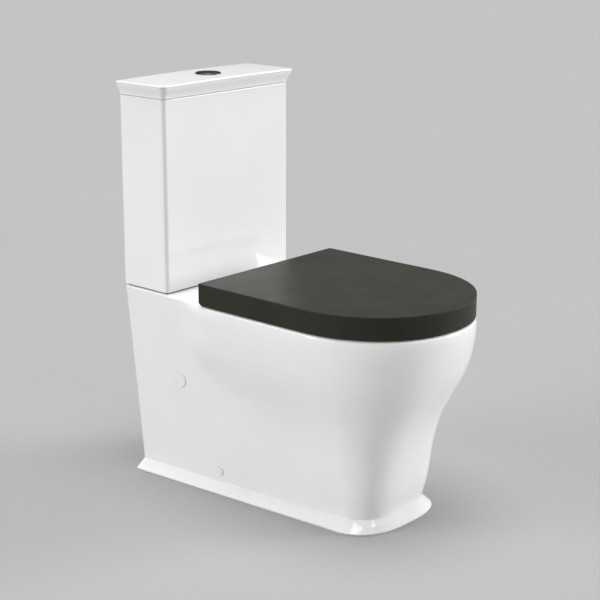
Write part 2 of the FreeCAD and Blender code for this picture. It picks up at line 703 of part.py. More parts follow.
def cistern_lid():
    """Vitreous china lid: a band, a cove that flares out, a round nose and a shallow dome."""
    band_top = TANK_TOP + LID_BAND
    nose_low = band_top + LID_COVE
    cove_radius = (LID_FLARE ** 2 + LID_COVE ** 2) / (2 * LID_FLARE)
    cove = []
    for step in range(COVE_STEPS + 1):
        rise = LID_COVE * step / COVE_STEPS
        cove.append(lid_wire(band_top + rise, cove_radius - math.sqrt(cove_radius ** 2 - rise ** 2)))
    slab = [
        Part.Face(lid_wire(TANK_TOP, 0.0)).extrude(V(0, 0, LID_BAND)),
        Part.makeLoft(cove, True, False),
        Part.Face(lid_wire(nose_low, LID_FLARE)).extrude(V(0, 0, LID_NOSE + 2 * LID_DOME)),
    ]
    half = TANK_HALF + LID_FLARE
    dome_radius = (half ** 2 + LID_DOME ** 2) / (2 * LID_DOME)
    dome = Part.makeSphere(dome_radius, at(0.0, TANK_DEPTH / 2, LID_TOP - dome_radius), V(0, -1, 0))
    lid = fused(slab).common(dome).Solids[0]
    lid = rounded(lid, LID_NOSE_ROUND, lambda box: box.ZMin > nose_low + SLACK and box.YMin < -SLACK)
    rib_out = TANK_WALL + LID_RIB_GAP
    rib_low = TANK_TOP - LID_RIB_DROP
    plate_under = LID_TOP - LID_PLATE
    rib = tank_box(rib_out, rib_low, TANK_TOP + LID_BAND)
    rib = rounded(rib, TANK_CORNER, lambda box: box.ZLength > LID_RIB)
    lid = fused([lid, rib])
    pocket = tank_box(rib_out + LID_RIB, rib_low - SLACK, plate_under)
    return lid.cut([pocket, post(0.0, VALVE_REACH, plate_under - SLACK, LID_TOP + SLACK, BEZEL_NECK + FIT)])


def tank_to_pan():
    """What seals and bolts the tank to the pan's deck."""
    outer = tank_box(TANK_WALL - GASKET_WIDTH, PAN_HEIGHT, TANK_BOTTOM)
    gasket = outer.cut(tank_box(TANK_WALL, PAN_HEIGHT - SLACK, TANK_BOTTOM + SLACK))
    nut_low = FLOOR_UNDER - NUT_HEIGHT
    bolt_low = DECK_UNDER - BOLT_TAIL
    washer_low = DECK_UNDER - PLATE_WASHER
    across = COUPLING_ACROSS
    bolt = post(across, VALVE_REACH, bolt_low, FLANGE_LOW + SLACK, BOLT_RADIUS)
    bolt = fused([bolt, post(across, VALVE_REACH, FLANGE_LOW, FLANGE_LOW + BOLT_HEAD, BOLT_HEAD_RADIUS)])
    return {
        "tank_gasket": gasket,
        "coupling_seal": tube(0.0, VALVE_REACH, PAN_HEIGHT, nut_low, SEAL_RING_RADIUS, TAIL_RADIUS),
        "coupling_bolts": pair(bolt),
        "coupling_rubber_washers": pair(
            tube(across, VALVE_REACH, FLOOR_TOP, FLANGE_LOW, RUBBER_RADIUS, BOLT_RADIUS)
        ),
        "coupling_plate_washers": pair(
            tube(across, VALVE_REACH, washer_low, DECK_UNDER, PLATE_WASHER_RADIUS, BOLT_RADIUS)
        ),
        "coupling_wing_nuts": pair(wing_nut(across, VALVE_REACH, washer_low)),
    }


def lift_lever(tine_top):
    """Forked lever on the right of the spindle: the rod presses its tail, its tines lift a collar."""
    pivot_height = tine_top - TINE_THICKNESS / 2
    tine_low = tine_top - TINE_THICKNESS
    tine_out = TINE_INNER + TINE_WIDTH
    tip = LEVER_PIVOT - LEVER_INNER_ARM
    tail = LEVER_PIVOT + LEVER_OUTER_ARM + ROD_RADIUS + SLACK
    pieces = [
        forward_rod(LEVER_PIVOT, VALVE_REACH - tine_out, VALVE_REACH + tine_out, pivot_height, LEVER_BARREL),
        block(LEVER_PIVOT, tail, VALVE_REACH - EAR_HALF, VALVE_REACH + EAR_HALF, tine_low, tine_top),
        block(tip, LEVER_PIVOT, VALVE_REACH + TINE_INNER, VALVE_REACH + tine_out, tine_low, tine_top),
        block(tip, LEVER_PIVOT, VALVE_REACH - tine_out, VALVE_REACH - TINE_INNER, tine_low, tine_top),
    ]
    bore = forward_rod(LEVER_PIVOT, 0.0, TANK_DEPTH, pivot_height, LEVER_PIN + RUN)
    return fused(pieces).cut(bore)


def lever_ears(tine_top):
    """Two upright ears on the cage plate that carry one lever's pin, and that pin."""
    pivot_height = tine_top - TINE_THICKNESS / 2
    inner = TINE_INNER + TINE_WIDTH + FIT
    outer = inner + EAR_THICKNESS
    pin = forward_rod(LEVER_PIVOT, VALVE_REACH - outer, VALVE_REACH + outer, pivot_height, LEVER_PIN)
    ears = []
    for near, far in ((inner, outer), (-outer, -inner)):
        low_reach = VALVE_REACH + near
        high_reach = VALVE_REACH + far
        upright = block(LEVER_PIVOT - EAR_HALF, LEVER_PIVOT + EAR_HALF, low_reach, high_reach,
                        PLATE_LOW, pivot_height)
        head = forward_rod(LEVER_PIVOT, low_reach, high_reach, pivot_height, EAR_HALF)
        ears.append(upright.fuse(head).removeSplitter().cut(pin))
    return ears, pin


def flush_valve():
    """Dual flush valve in the tank: cage, spindle with overflow, half flush sleeve and levers."""
    lip_top = FLANGE_TOP + SEAT_LIP
    tail_low = PAN_HEIGHT - TAIL_DROP
    nut_low = FLOOR_UNDER - NUT_HEIGHT
    running = SPINDLE_RADIUS + FIT
    full_ears, full_pin = lever_ears(FULL_TINE_TOP)
    half_ears, half_pin = lever_ears(HALF_TINE_TOP)
    plate_across = LEVER_PIVOT + EAR_HALF
    plate_forward = TINE_INNER + TINE_WIDTH + FIT + EAR_THICKNESS
    plate = block(-plate_across, plate_across, VALVE_REACH - plate_forward, VALVE_REACH + plate_forward,
                  PLATE_LOW, PLATE_LOW + CAGE_PLATE)
    pieces = [
        post(0.0, VALVE_REACH, tail_low, lip_top, TAIL_RADIUS),
        post(0.0, VALVE_REACH, FLANGE_LOW, FLANGE_TOP, VALVE_FLANGE_RADIUS),
        plate,
        post(0.0, VALVE_REACH, PLATE_LOW, GUIDE_TOP, running + GUIDE_WALL),
    ]
    for side in (-1, 1):
        for step in (-1, 1):
            across = side * CAGE_LEG_ACROSS
            reach = VALVE_REACH + step * CAGE_LEG_FORWARD
            pieces.append(post(across, reach, FLANGE_LOW, PLATE_LOW + SLACK, CAGE_LEG))
    pieces += full_ears + [mirrored(ear) for ear in half_ears]
    body = fused(pieces).cut([
        post(0.0, VALVE_REACH, tail_low - SLACK, lip_top + SLACK, TAIL_BORE),
        post(0.0, VALVE_REACH, PLATE_LOW - SLACK, GUIDE_TOP + SLACK, running),
    ])

    disc_low = SEAL_LOW + SEAL_THICKNESS
    collar_low = FULL_TINE_TOP + FIT
    spindle = fused([
        post(0.0, VALVE_REACH, SEAL_LOW, SPINDLE_TOP, SPINDLE_RADIUS),
        post(0.0, VALVE_REACH, disc_low, disc_low + SPINDLE_DISC, SPINDLE_DISC_RADIUS),
        post(0.0, VALVE_REACH, collar_low, collar_low + COLLAR, COLLAR_RADIUS),
    ])
    spindle = spindle.cut(post(0.0, VALVE_REACH, SEAL_LOW - SLACK, SPINDLE_TOP + SLACK, SPINDLE_BORE))
    sleeve_collar = SLEEVE_LOW + SLEEVE_COLLAR_RISE
    sleeve = fused([
        post(0.0, VALVE_REACH, SLEEVE_LOW, SLEEVE_LOW + SLEEVE_HEIGHT, running + GUIDE_WALL),
        post(0.0, VALVE_REACH, sleeve_collar, sleeve_collar + COLLAR, COLLAR_RADIUS),
    ])
    sleeve = sleeve.cut(post(0.0, VALVE_REACH, SLEEVE_LOW - SLACK, SLEEVE_LOW + 2 * SLEEVE_HEIGHT, running))
    return {
        "flush_valve_body": body,
        "flush_valve_washer": tube(0.0, VALVE_REACH, FLOOR_TOP, FLANGE_LOW, VALVE_FLANGE_RADIUS, TAIL_RADIUS),
        "flush_valve_nut": tube(0.0, VALVE_REACH, nut_low, FLOOR_UNDER, VALVE_NUT_RADIUS, TAIL_RADIUS),
        "flush_spindle": spindle,
        "spindle_seal": tube(0.0, VALVE_REACH, SEAL_LOW, disc_low, SEAL_RADIUS, SPINDLE_RADIUS),
        "half_flush_sleeve": sleeve,
        "full_lift_lever": lift_lever(FULL_TINE_TOP),
        "half_lift_lever": mirrored(lift_lever(HALF_TINE_TOP)),
        "lever_pins": Part.makeCompound([full_pin, mirrored(half_pin)]),
    }


def push_rod(across, side, foot):
    """Cranked rod from a button, out past the overflow and down to a round foot on a lever's tail."""
    out = side * (LEVER_PIVOT + LEVER_OUTER_ARM)
    arm_top = ROD_ARM_LOW + ROD_ARM
    arm = block(min(across, out), max(across, out), VALVE_REACH - ROD_RADIUS, VALVE_REACH + ROD_RADIUS,
                ROD_ARM_LOW, arm_top)
    return fused([
        post(across, VALVE_REACH, ROD_ARM_LOW, BUTTON_LOW, ROD_RADIUS),
        arm,
        post(out, VALVE_REACH, foot + ROD_RADIUS, arm_top, ROD_RADIUS),
        Part.makeSphere(ROD_RADIUS, at(out, VALVE_REACH, foot + ROD_RADIUS)),
    ])


def button_half(low, high):
    """One half of the split round button, between two places across."""
    disc = post(0.0, VALVE_REACH, BUTTON_LOW, BUTTON_TOP, BEZEL_BORE - FIT)
    cutter = block(low, high, VALVE_REACH - BEZEL_RADIUS, VALVE_REACH + BEZEL_RADIUS, BUTTON_LOW, BUTTON_TOP)
    return rounded(disc.common(cutter), BUTTON_PROUD, level_at(BUTTON_TOP))


def buttons():
    """Round bezel in the lid with a full and a half flush button, rods and return springs."""
    neck_low = BEZEL_PLATE_TOP - BEZEL_PLATE
    flange_top = LID_TOP + BEZEL_HEIGHT
    flange = post(0.0, VALVE_REACH, LID_TOP, flange_top, BEZEL_RADIUS)
    top_edges = [edge for edge in flange.Edges if level_at(flange_top)(edge.BoundBox)]
    flange = flange.makeChamfer(BEZEL_BEVEL, top_edges)
    bezel = fused([flange, post(0.0, VALVE_REACH, neck_low, LID_TOP + SLACK, BEZEL_NECK)])
    bores = [post(0.0, VALVE_REACH, BEZEL_PLATE_TOP, flange_top + SLACK, BEZEL_BORE)]
    nodes = {}
    for name, across, side, tine_top in (
        ("full", FULL_ROD_ACROSS, 1, FULL_TINE_TOP),
        ("half", HALF_ROD_ACROSS, -1, HALF_TINE_TOP),
    ):
        bores.append(post(across, VALVE_REACH, neck_low - SLACK, BEZEL_PLATE_TOP + SLACK, ROD_RADIUS + FIT))
        nodes[name + "_push_rod"] = push_rod(across, side, tine_top + 2 * FIT)
        nodes[name + "_button_spring"] = tube(
            across, VALVE_REACH, BEZEL_PLATE_TOP, BUTTON_LOW, SPRING_RADIUS, SPRING_RADIUS - SPRING_WIRE
        )
    split_low = BUTTON_SPLIT - BUTTON_GAP / 2
    split_high = BUTTON_SPLIT + BUTTON_GAP / 2
    nodes["full_flush_button"] = button_half(split_high, BEZEL_RADIUS)
    nodes["half_flush_button"] = button_half(-BEZEL_RADIUS, split_low)
    nodes["button_bezel"] = bezel.cut(bores)
    plate_under = LID_TOP - LID_PLATE
    nodes["button_lock_nut"] = tube(
        0.0, VALVE_REACH, plate_under - LOCK_NUT_HEIGHT, plate_under, LOCK_NUT_RADIUS, BEZEL_NECK
    )
    return nodes


def fill_valve():
    """Inlet valve with its shank, riser and head, and the float that shuts it."""
    x = FILL_ACROSS
    shank_low = FLOOR_TOP - SHANK_DROP
    head_top = RISER_TOP + FILL_HEAD
    boss_front = FLOAT_ARM_BACK - FIT
    arm_front = FLOAT_ARM_BACK + FLOAT_ARM_WIDTH
    pivot = (FLOAT_PIVOT_ACROSS, FLOAT_PIVOT_HEIGHT)
    pin = forward_rod(pivot[0], VALVE_REACH, arm_front + LINK_COLLAR, pivot[1], LEVER_PIN)
    body = fused([
        post(x, VALVE_REACH, shank_low, RISER_TOP, SHANK_RADIUS),
        post(x, VALVE_REACH, shank_low + SHANK_THREAD, RISER_TOP, SHANK_SHOULDER),
        post(x, VALVE_REACH, FLANGE_LOW, FLANGE_TOP, FILL_FLANGE_RADIUS),
        post(x, VALVE_REACH, FLANGE_LOW, RISER_TOP, RISER_RADIUS),
        post(x, VALVE_REACH, FLOAT_LOW - FIT - FLOAT_STOP, FLOAT_LOW - FIT, FILL_FLANGE_RADIUS),
        post(x, VALVE_REACH, RISER_TOP, head_top, FILL_HEAD_RADIUS),
        forward_rod(pivot[0], VALVE_REACH, boss_front, pivot[1], 2 * LEVER_PIN + SLACK),
    ])
    body = body.cut([post(x, VALVE_REACH, shank_low - SLACK, RISER_TOP, SHANK_BORE), pin])

    float_top = FLOAT_LOW + FLOAT_HEIGHT
    running = RISER_RADIUS + FIT
    ear = block(x + running, LINK_ACROSS + FLOAT_EAR, VALVE_REACH + running, LINK_REACH + FLOAT_EAR,
                float_top - FLOAT_EAR, float_top)
    cup = fused([post(x, VALVE_REACH, FLOAT_LOW, float_top, FLOAT_RADIUS), ear])
    air = tube(x, VALVE_REACH, FLOAT_LOW - SLACK, float_top - FLOAT_EAR - FLOAT_WALL,
               FLOAT_RADIUS - FLOAT_WALL, running + FLOAT_WALL)
    cup = cup.cut([air, post(x, VALVE_REACH, FLOAT_LOW - SLACK, float_top + SLACK, running)])
    ear_low = float_top - FLOAT_EAR
    cup = cup.cut(post(LINK_ACROSS, LINK_REACH, ear_low - SLACK, float_top + SLACK, LINK_RADIUS))

    drop = math.radians(FLOAT_ARM_DROP_DEG)
    tip_height = pivot[1] - FLOAT_ARM * math.sin(drop)
    tilt_room = LINK_COLLAR_RADIUS * math.tan(drop) + FLOAT_ARM_THICKNESS / 2 / math.cos(drop) + 2 * FIT
    upper_collar = tip_height + tilt_room
    lower_collar = tip_height - tilt_room
    link = fused([
        post(LINK_ACROSS, LINK_REACH, ear_low, upper_collar + 2 * LINK_COLLAR, LINK_RADIUS),
        post(LINK_ACROSS, LINK_REACH, upper_collar, upper_collar + LINK_COLLAR, LINK_COLLAR_RADIUS),
        post(LINK_ACROSS, LINK_REACH, lower_collar - LINK_COLLAR, lower_collar, LINK_COLLAR_RADIUS),
    ])

    half_bar = FLOAT_ARM_THICKNESS / 2
    slot_half = FLOAT_ARM_THICKNESS - 2 * FIT
    slot_side = LINK_RADIUS + 2 * FIT
    arm = fused([
        forward_rod(pivot[0], FLOAT_ARM_BACK, arm_front, pivot[1], FLOAT_ARM_THICKNESS),
        block(pivot[0], FLOAT_ARM_HOLE + 2 * LINK_COLLAR_RADIUS, FLOAT_ARM_BACK, arm_front,
              pivot[1] - half_bar, pivot[1] + half_bar),
    ])
    slot = block(FLOAT_ARM_HOLE - slot_half, FLOAT_ARM_HOLE + slot_half, LINK_REACH - slot_side,
                 LINK_REACH + slot_side, pivot[1] - FLOAT_ARM, pivot[1] + FLOAT_ARM)
    bore = forward_rod(pivot[0], 0.0, TANK_DEPTH, pivot[1], LEVER_PIN + RUN)
    arm = arm.cut([slot, bore])
    arm.rotate(at(pivot[0], 0.0, pivot[1]), V(0, 1, 0), FLOAT_ARM_DROP_DEG)

    nut_low = FLOOR_UNDER - NUT_HEIGHT
    return {
        "fill_valve_body": body,
        "fill_valve_washer": tube(x, VALVE_REACH, FLOOR_TOP, FLANGE_LOW, FILL_FLANGE_RADIUS, SHANK_SHOULDER),
        "fill_valve_nut": tube(x, VALVE_REACH, nut_low, FLOOR_UNDER, FILL_NUT_RADIUS, SHANK_SHOULDER),
        "float_cup": cup,
        "float_link_rod": link,
        "float_lever": arm,
        "float_lever_pin": pin,
    }


def seat_wire(z, half, rear, front):
    """Seat outline in plan: straight across the back, straight sides and a round front."""
    right = [(half, mix(rear, SEAT_SHOULDER, stop)) for stop in SIDE_STOPS]
    right += front_points(half, SEAT_SHOULDER, front, SEAT_SQUARENESS)
    left = [(-x, reach) for x, reach in reversed(right)]
    points = [at(x, reach, z) for x, reach in right + [(0.0, front)] + left]
    curve = Part.BSplineCurve()
    curve.interpolate(Points=points)
    return Part.Wire([curve.toShape(), Part.makeLine(points[-1], points[0])])


def seat_slab(low, high, half, rear, front):
    """Flat slab with the seat's outline."""
    return Part.Face(seat_wire(low, half, rear, front)).extrude(V(0, 0, high - low))


def knuckle(x_low, x_high, web_back, web_front, web_low, web_high):
    """Hinge knuckle round the pin's axis, with a web to the piece that it carries."""
    web = block(x_low, x_high, web_back, web_front, web_low, web_high)
    return fused([cross_rod(x_low, x_high, HINGE_REACH, HINGE_HEIGHT, HINGE_BARREL), web])


def knuckle_bore(x_low, x_high, radius):
    """Hole through a knuckle for the damper or bush in it."""
    return cross_rod(x_low - SLACK, x_high + SLACK, HINGE_REACH, HINGE_HEIGHT, radius)


def seat_lid():
    """Wrap-over lid: a thin moulded shell with a skirt round the sides and front."""
    lid = seat_slab(SKIRT_LOW, SEAT_TOP, SEAT_LID_HALF, SEAT_LID_REAR, SEAT_LID_FRONT)
    lid = rounded(lid, SEAT_LID_CORNER, lambda box: box.ZLength > SEAT_LID_WALL and box.YMin > -HINGE_REACH)
    lid = rounded(lid, SEAT_LID_EDGE, level_at(SEAT_TOP))
    inner_half = SEAT_LID_HALF - SEAT_LID_WALL
    inner_rear = SEAT_LID_REAR + SEAT_LID_WALL
    ceiling = SEAT_TOP - SEAT_LID_TOP
    inside = seat_slab(SKIRT_LOW - SLACK, ceiling, inner_half, inner_rear, SEAT_LID_FRONT - SEAT_LID_WALL)
    rear_gap = block(-inner_half, inner_half, SEAT_LID_REAR - SLACK, inner_rear + SLACK,
                     SKIRT_LOW - SLACK, SEAT_TOP - REAR_SKIRT)
    heel = block(-RIM_FRONT, RIM_FRONT, SEAT_LID_REAR - SLACK, SEAT_LID_REAR + SKIRT_HEEL,
                 SKIRT_LOW - SLACK, SKIRT_LOW + SKIRT_HEEL)
    heel_reach = SEAT_LID_REAR + SKIRT_HEEL
    heel = heel.cut(cross_rod(-RIM_FRONT, RIM_FRONT, heel_reach, SKIRT_LOW + SKIRT_HEEL, SKIRT_HEEL))
    lid = lid.cut(heel).cut([inside, rear_gap])
    web_half = HINGE_BARREL - 2 * SLACK
    right = knuckle(LID_KNUCKLE_IN, LID_KNUCKLE_OUT, HINGE_REACH - web_half, HINGE_REACH + web_half,
                    HINGE_HEIGHT, ceiling + SLACK)
    return fused([lid, right, mirrored(right)]).cut([
        knuckle_bore(LID_KNUCKLE_IN, LID_KNUCKLE_OUT, BUSH_RADIUS),
        knuckle_bore(-LID_KNUCKLE_OUT, -LID_KNUCKLE_IN, DAMPER_RADIUS),
    ])


def seat_ring():
    """Seat ring with an oval opening and notches round the hinge posts."""
    ring = seat_slab(RING_LOW, RING_TOP, RING_HALF, RING_REAR, RING_FRONT)
    ring = rounded(ring, RING_CORNER, lambda box: box.ZLength > RING_EDGE and box.YMin > -RING_REAR - SLACK)
    length_half = (RING_OPENING_FRONT - RING_OPENING_BACK) / 2
    mouth = oval(RING_OPENING_HALF, length_half, RING_OPENING_BACK + length_half, RING_LOW - SLACK)
    ring = rounded(ring, RING_EDGE, level_at(RING_TOP))
    ring = ring.cut(Part.Face(mouth).extrude(V(0, 0, RING_THICKNESS + 2 * SLACK)))
    at_top = level_at(RING_TOP)
    ring = rounded(ring, RING_EDGE, lambda box: at_top(box) and box.XMax < RING_OPENING_HALF + SLACK)
    notch_front = HINGE_REACH + NOTCH_DEPTH
    notch = block(LID_KNUCKLE_IN - NOTCH_SIDE_GAP, RING_KNUCKLE_OUT + NOTCH_SIDE_GAP,
                  RING_REAR - SLACK, notch_front, RING_LOW - SLACK, RING_TOP + SLACK)
    ring = ring.cut([notch, mirrored(notch)])
    right = knuckle(RING_KNUCKLE_IN, RING_KNUCKLE_OUT, HINGE_REACH, notch_front + RING_EDGE,
                    HINGE_HEIGHT - HINGE_BARREL, RING_TOP - SLACK)
    return fused([ring, right, mirrored(right)]).cut([
        knuckle_bore(RING_KNUCKLE_IN, RING_KNUCKLE_OUT, DAMPER_RADIUS),
        knuckle_bore(-RING_KNUCKLE_OUT, -RING_KNUCKLE_IN, BUSH_RADIUS),
    ])


def hinge_insert(x_low, x_high, radius):
    """Damper or bush in a knuckle, running on the hinge pin."""
    body = cross_rod(x_low, x_high, HINGE_REACH, HINGE_HEIGHT, radius)
    return body.cut(cross_rod(x_low - SLACK, x_high + SLACK, HINGE_REACH, HINGE_HEIGHT, HINGE_PIN + RUN))


def bumpers(low, high):
    """Rubber buffers at the four corners of the ring, in one node."""
    places = (
        (RING_HALF - BUMPER_SIDE, BUMPER_REAR_REACH),
        (BUMPER_FRONT_ACROSS, BUMPER_FRONT_REACH),
    )
    solids = []
    for across, reach in places:
        for side in (-1, 1):
            solids.append(post(side * across, reach, low, high, BUMPER_RADIUS))
    return Part.makeCompound(solids)


def hinge_post():
    """Right hinge post on the pan's deck: a foot, a leaning neck and a barrel for the pin."""
    foot_top = PAN_HEIGHT + HINGE_FOOT
    foot = post(HINGE_ACROSS, HINGE_FOOT_REACH, PAN_HEIGHT, foot_top, HINGE_FOOT_RADIUS)
    neck_in = BARREL_IN + HINGE_SIDE_GAP + SLACK
    neck_out = BARREL_OUT - HINGE_SIDE_GAP - SLACK
    corners = [
        at(neck_in, HINGE_REACH, PAN_HEIGHT + SLACK),
        at(neck_in, HINGE_FOOT_REACH + HINGE_BARREL - SLACK, PAN_HEIGHT + SLACK),
        at(neck_in, HINGE_REACH + HINGE_BARREL - SLACK, HINGE_HEIGHT),
        at(neck_in, HINGE_REACH, HINGE_HEIGHT),
    ]
    neck = Part.Face(Part.makePolygon(corners + corners[:1])).extrude(V(neck_out - neck_in, 0, 0))
    barrel = cross_rod(BARREL_IN, BARREL_OUT, HINGE_REACH, HINGE_HEIGHT, HINGE_BARREL)
    body = fused([foot, neck, barrel])
    return body.cut([
        cross_rod(BARREL_IN - SLACK, BARREL_OUT + SLACK, HINGE_REACH, HINGE_HEIGHT, HINGE_PIN),
        post(HINGE_ACROSS, HINGE_FOOT_REACH, PAN_HEIGHT - SLACK, PAN_HEIGHT + STUD_BITE, BOLT_RADIUS),
    ])


def seat():
    """Seat lid, ring and the hinge that carries both on one axis."""
    right_post = hinge_post()
    right_pin = cross_rod(LID_KNUCKLE_IN, RING_KNUCKLE_OUT, HINGE_REACH, HINGE_HEIGHT, HINGE_PIN)
    washer_low = DECK_UNDER - PLATE_WASHER
    place = (HINGE_ACROSS, HINGE_FOOT_REACH)
    return {
        "seat_lid": seat_lid(),
        "lid_bumpers": bumpers(RING_TOP + FIT, SEAT_TOP - SEAT_LID_TOP),
        "lid_damper": hinge_insert(-LID_KNUCKLE_OUT, -LID_KNUCKLE_IN, DAMPER_RADIUS),
        "lid_bush": hinge_insert(LID_KNUCKLE_IN, LID_KNUCKLE_OUT, BUSH_RADIUS),
        "seat_ring": seat_ring(),
        "ring_bumpers": bumpers(PAN_HEIGHT + FIT, RING_LOW),
        "seat_damper": hinge_insert(RING_KNUCKLE_IN, RING_KNUCKLE_OUT, DAMPER_RADIUS),
        "seat_bush": hinge_insert(-RING_KNUCKLE_OUT, -RING_KNUCKLE_IN, BUSH_RADIUS),
        "hinge_post_right": right_post,
        "hinge_post_left": mirrored(right_post),
        "hinge_pin_right": right_pin,
        "hinge_pin_left": mirrored(right_pin),
        "hinge_studs": pair(post(*place, DECK_UNDER - BOLT_TAIL, PAN_HEIGHT + STUD_BITE, BOLT_RADIUS)),
        "hinge_washers": pair(tube(*place, washer_low, DECK_UNDER, PLATE_WASHER_RADIUS, BOLT_RADIUS)),
        "hinge_wing_nuts": pair(wing_nut(*place, washer_low)),
    }


def floor_fixing():
    """Cap covers on the flanks, and the nylon floor brackets that the lower screws hold."""
    side_cap = stand(-CAP_SEAT, CAP_PROUD, SIDE_CAP_RADIUS)
    side_cap = rounded(side_cap, CAP_EDGE, level_at(CAP_PROUD))
    side_cap = fused([side_cap, stand(-PAN_WALL, -CAP_SEAT, SIDE_HOLE - FIT)])
    head_out = SIDE_SCREW_HEAD_HEIGHT - FLOOR_CAP_SEAT
    floor_cap = rounded(stand(head_out, CAP_PROUD, FLOOR_CAP_RADIUS), CAP_EDGE, level_at(CAP_PROUD))
    screw = fused([
        stand(-FLOOR_CAP_SEAT, head_out, SIDE_SCREW_HEAD),
        stand(-SIDE_SCREW_LENGTH, -FLOOR_CAP_SEAT, SIDE_SCREW),
    ])
    screw = on_flank(screw, FLOOR_CAP_REACH, FLOOR_CAP_HEIGHT)

    hole = (BRACKET_ACROSS, FLOOR_CAP_REACH)
    blank = block(BRACKET_ACROSS - BRACKET_INNER_MARGIN, RIM_FRONT, FLOOR_CAP_REACH - BRACKET_HALF_LENGTH,
                  FLOOR_CAP_REACH + BRACKET_HALF_LENGTH, 0.0, BRACKET_HEIGHT)
    bracket = blank.common(pan_loft(-PAN_WALL - FIT, PAN_WALL, -SLACK, ruled=True))
    bracket = bracket.cut([post(*hole, -SLACK, BRACKET_HEIGHT + SLACK, FLOOR_HOLE), screw])
    return {
        "side_access_caps": pair(on_flank(side_cap, SIDE_CAP_REACH, SIDE_CAP_HEIGHT)),
        "floor_screw_caps": pair(on_flank(floor_cap, FLOOR_CAP_REACH, FLOOR_CAP_HEIGHT)),
        "floor_bracket_screws": pair(screw),
        "floor_bracket_right": bracket,
        "floor_bracket_left": mirrored(bracket),
    }


nodes = {"pan": pan(), "cistern_tank": cistern_tank(), "cistern_lid": cistern_lid()}
nodes.update(tank_to_pan())
nodes.update(flush_valve())
nodes.update(buttons())
nodes.update(fill_valve())
nodes.update(seat())
nodes.update(floor_fixing())

os.makedirs("parts", exist_ok=True)
for name, shape in nodes.items():
    placed = shape.copy()
    placed.translate(V(0.0, RIM_FRONT / 2, 0.0))
    placed.exportStep(f"parts/{name}.step")
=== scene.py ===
import math

import bpy
from mathutils import Matrix, Vector


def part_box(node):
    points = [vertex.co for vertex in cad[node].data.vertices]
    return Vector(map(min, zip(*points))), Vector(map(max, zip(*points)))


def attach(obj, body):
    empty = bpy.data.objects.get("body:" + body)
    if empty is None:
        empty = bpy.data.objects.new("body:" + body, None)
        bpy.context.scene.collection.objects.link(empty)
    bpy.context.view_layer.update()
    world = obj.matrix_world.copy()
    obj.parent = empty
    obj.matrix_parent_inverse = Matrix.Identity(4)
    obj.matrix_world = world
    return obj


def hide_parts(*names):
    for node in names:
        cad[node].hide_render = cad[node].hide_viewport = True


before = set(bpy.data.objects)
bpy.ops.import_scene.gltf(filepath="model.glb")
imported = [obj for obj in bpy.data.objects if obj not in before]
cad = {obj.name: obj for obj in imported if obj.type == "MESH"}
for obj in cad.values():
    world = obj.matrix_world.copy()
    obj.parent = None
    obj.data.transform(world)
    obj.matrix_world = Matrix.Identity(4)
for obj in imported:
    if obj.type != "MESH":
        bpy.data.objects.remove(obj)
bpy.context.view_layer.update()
bpy.ops.object.select_all(action="DESELECT")

# Pan
# One slip-cast piece of vitreous china: skirt, bowl, trapway and deck come out of one mould.
# White glaze covers what shows. The foot, the wall edge and the hollow stay as bare fired clay.


class Signal:
    """Output of a shader node. Arithmetic on it adds Math nodes to the same material."""

    # Sockets of a Mix node: its two colours, and the colour that comes out.
    FIRST_COLOUR = 6
    SECOND_COLOUR = 7
    MIXED_COLOUR = 2

    def __init__(self, tree, socket=None):
        self.tree = tree
        self.socket = socket

    def node(self, kind, inputs=None, output=0, **settings):
        """Add a node, make its settings, feed its inputs by name or number, and give one output."""
        made = self.tree.nodes.new("ShaderNode" + kind)
        for name, setting in settings.items():
            setattr(made, name, setting)
        for name, value in (inputs or {}).items():
            if isinstance(value, Signal):
                self.tree.links.new(value.socket, made.inputs[name])
            else:
                made.inputs[name].default_value = value
        return Signal(self.tree, made.outputs[output])

    def maths(self, operation, first, second):
        """Math node on two values, each a number or a signal."""
        return self.node("Math", {0: first, 1: second}, operation=operation)

    def __add__(self, other):
        return self.maths("ADD", self, other)

    def __sub__(self, other):
        return self.maths("SUBTRACT", self, other)

    def __rsub__(self, other):
        return self.maths("SUBTRACT", other, self)

    def __mul__(self, other):
        return self.maths("MULTIPLY", self, other)

    def __truediv__(self, other):
        return self.maths("DIVIDE", self, other)

    def __pow__(self, other):
        return self.maths("POWER", self, other)

    def __lt__(self, other):
        return self.maths("LESS_THAN", self, other)

    def __gt__(self, other):
        return self.maths("GREATER_THAN", self, other)

    __radd__ = __add__
    __rmul__ = __mul__

    def either(self, other):
        """The larger of two values, which joins two masks."""
        return self.maths("MAXIMUM", self, other)

    def between(self, low, high):
        """Value that goes from low to high as this one goes from 0 to 1."""
        return self * (high - low) + low

    def step(self, low, high):
        """Smooth step from 0 at low to 1 at high."""
        limits = {"Value": self, "From Min": low, "From Max": high}
        return self.node("MapRange", limits, interpolation_type="SMOOTHSTEP")

    def tint(self, low, high):
        """Colour that goes from low to high with this value, either of them a colour or a signal."""
        ends = {"Factor": self}
        for number, end in ((self.FIRST_COLOUR, low), (self.SECOND_COLOUR, high)):
            ends[number] = end if isinstance(end, Signal) else (*end, 1.0)
        return self.node("Mix", ends, output=self.MIXED_COLOUR, data_type="RGBA")


